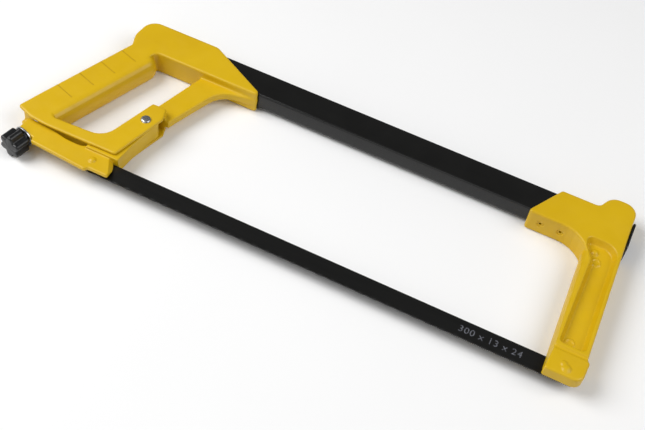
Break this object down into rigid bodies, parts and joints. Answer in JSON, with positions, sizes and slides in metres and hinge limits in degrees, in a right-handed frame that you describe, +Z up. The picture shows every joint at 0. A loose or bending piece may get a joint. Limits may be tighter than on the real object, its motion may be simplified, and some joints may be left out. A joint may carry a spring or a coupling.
{
  "type": "hacksaw",
  "caption": "Hand hacksaw with a square tube frame, cast D-handle with screw-tensioned lever and star knob, cast nose, and a pinned fine-tooth metal-cutting blade.",
  "frame": {"origin": "centre of the bounding box in plan, at the underside of the saw lying on its side", "axes": "+X along the tube towards the nose, +Y from the blade to the tube, +Z up through the thickness"},
  "size_m": [0.3726, 0.1494, 0.0176],
  "materials": {
    "cast_yellow": "semi-gloss powder coat on die-cast aluminium",
    "tube_black": "gloss black lacquer on steel tube",
    "cap_black": "moulded",
    "blade_black": "satin black over rolled steel",
    "knob_black": "moulded, semi-gloss",
    "bright_steel": "zinc plated, turned"
  },
  "bodies": {
    "frame": {"rear_handle": "cast_yellow", "frame_tube": "tube_black", "front_casting": "cast_yellow", "pivot_rivet": "bright_steel", "front_blade_pin": "bright_steel", "handle_nut": "bright_steel", "rear_spring_pin_1": "cast_yellow", "rear_spring_pin_2": "cast_yellow", "front_spring_pin_1": "cast_yellow", "front_spring_pin_2": "cast_yellow"},
    "lever": {"tension_lever": "cast_yellow", "rear_blade_pin": "bright_steel"},
    "washer": {"knob_washer": "bright_steel"},
    "knob": {"tension_knob": "knob_black", "tension_screw": "bright_steel"},
    "blade": {"blade": "blade_black"},
    "cap": {"tube_end_cap": "cap_black"}
  },
  "joints": [
    {"name": "lever_pivot", "type": "hinge", "parent": "frame", "child": "lever", "pos_m": [-0.11407, -0.01725, 0.0082], "axis": [0, 0, 1], "range_deg": [0, 0.94]},
    {"name": "knob_travel", "type": "slide", "parent": "frame", "child": "washer", "axis": [-0.2113, -0.9774, 0], "range_m": [0, 0.0008]},
    {"name": "knob_spin", "type": "hinge", "parent": "washer", "child": "knob", "pos_m": [-0.17377, -0.06155, 0.0082], "axis": [-0.2113, -0.9774, 0], "range_deg": [0, 360.05]},
    {"name": "blade_lift", "type": "slide", "parent": "frame", "child": "blade", "axis": [0, 0, -1], "range_m": [0, 0.005]},
    {"name": "cap_pull", "type": "slide", "parent": "frame", "child": "cap", "axis": [1, 0, 0], "range_m": [0, 0.015]}
  ],
  "couplings": [
    {"joint": "knob_spin", "follows": "knob_travel", "rad_per_m": 7854},
    {"joint": "lever_pivot", "follows": "knob_travel", "rad_per_m": 20.412}
  ]
}
